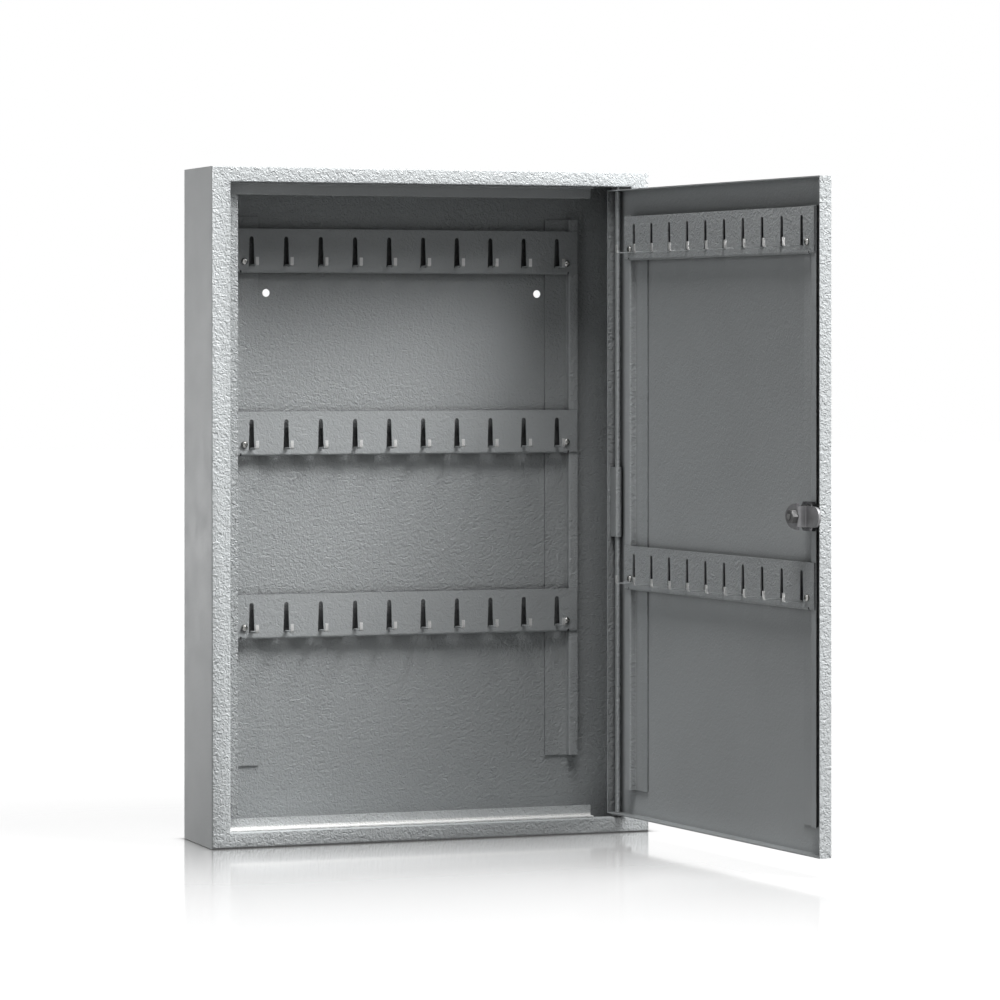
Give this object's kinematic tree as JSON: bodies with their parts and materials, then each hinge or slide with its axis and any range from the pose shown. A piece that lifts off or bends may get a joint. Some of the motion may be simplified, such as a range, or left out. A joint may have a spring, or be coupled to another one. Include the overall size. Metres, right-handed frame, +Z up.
{
  "type": "key cabinet",
  "caption": "Wall key cabinet of folded sheet steel with a hinged door, a cam lock and rows of key hooks on bars in the case and on the door.",
  "frame": {"origin": "centre of the case's underside", "axes": "+Z up, -Y out of the case's front, +Y into the wall, +X to the right seen from the front, where the door is hinged"},
  "size_m": [0.3972, 0.416, 0.55],
  "materials": {
    "case_shell": "hammered grey powder coat",
    "back_panel": "hammered grey powder coat",
    "stop_left": "hammered grey powder coat",
    "stop_top": "hammered grey powder coat",
    "stop_bottom": "hammered grey powder coat",
    "rail_left": "hammered grey powder coat",
    "rail_right": "hammered grey powder coat",
    "key_bar_upper": "hammered grey powder coat",
    "key_bar_middle": "hammered grey powder coat",
    "key_bar_lower": "hammered grey powder coat",
    "key_bar_upper_screw_left": "zinc plated",
    "key_bar_upper_screw_right": "zinc plated",
    "key_bar_middle_screw_left": "zinc plated",
    "key_bar_middle_screw_right": "zinc plated",
    "key_bar_lower_screw_left": "zinc plated",
    "key_bar_lower_screw_right": "zinc plated",
    "door_panel": "hammered grey powder coat",
    "hinge_rod": "hammered grey powder coat",
    "hinge_clip": "hammered grey powder coat",
    "door_rail_hinge_side": "hammered grey powder coat",
    "door_rail_lock_side": "hammered grey powder coat",
    "door_key_bar_upper": "hammered grey powder coat",
    "door_key_bar_lower": "hammered grey powder coat",
    "door_key_bar_upper_screw_left": "zinc plated",
    "door_key_bar_upper_screw_right": "zinc plated",
    "door_key_bar_lower_screw_left": "zinc plated",
    "door_key_bar_lower_screw_right": "zinc plated",
    "lock_housing": "zinc plated",
    "lock_nut": "dark plated steel",
    "lock_plug": "polished",
    "lock_cam": "dark plated steel",
    "lock_cam_nut": "zinc plated"
  },
  "bodies": {
    "cabinet": {"case_shell": "case_shell", "back_panel": "back_panel", "stop_left": "stop_left", "stop_top": "stop_top", "stop_bottom": "stop_bottom", "rail_left": "rail_left", "rail_right": "rail_right", "key_bar_upper": "key_bar_upper", "key_bar_middle": "key_bar_middle", "key_bar_lower": "key_bar_lower", "key_bar_upper_screw_left": "key_bar_upper_screw_left", "key_bar_upper_screw_right": "key_bar_upper_screw_right", "key_bar_middle_screw_left": "key_bar_middle_screw_left", "key_bar_middle_screw_right": "key_bar_middle_screw_right", "key_bar_lower_screw_left": "key_bar_lower_screw_left", "key_bar_lower_screw_right": "key_bar_lower_screw_right"},
    "door": {"door_panel": "door_panel", "hinge_rod": "hinge_rod", "hinge_clip": "hinge_clip", "door_rail_hinge_side": "door_rail_hinge_side", "door_rail_lock_side": "door_rail_lock_side", "door_key_bar_upper": "door_key_bar_upper", "door_key_bar_lower": "door_key_bar_lower", "door_key_bar_upper_screw_left": "door_key_bar_upper_screw_left", "door_key_bar_upper_screw_right": "door_key_bar_upper_screw_right", "door_key_bar_lower_screw_left": "door_key_bar_lower_screw_left", "door_key_bar_lower_screw_right": "door_key_bar_lower_screw_right", "lock_housing": "lock_housing", "lock_nut": "lock_nut"},
    "lock_core": {"lock_plug": "lock_plug", "lock_cam": "lock_cam", "lock_cam_nut": "lock_cam_nut"}
  },
  "joints": [
    {"name": "door_hinge", "type": "hinge", "parent": "cabinet", "child": "door", "pos_m": [0.164, -0.0348, 0.275], "axis": [0, 0, 1], "range_deg": [-96.2, 18.8]},
    {"name": "lock_turn", "type": "hinge", "parent": "door", "child": "lock_core", "pos_m": [0.19829, -0.35044, 0.275], "axis": [-0.9942, -0.108, 0], "range_deg": [0, 90]}
  ]
}
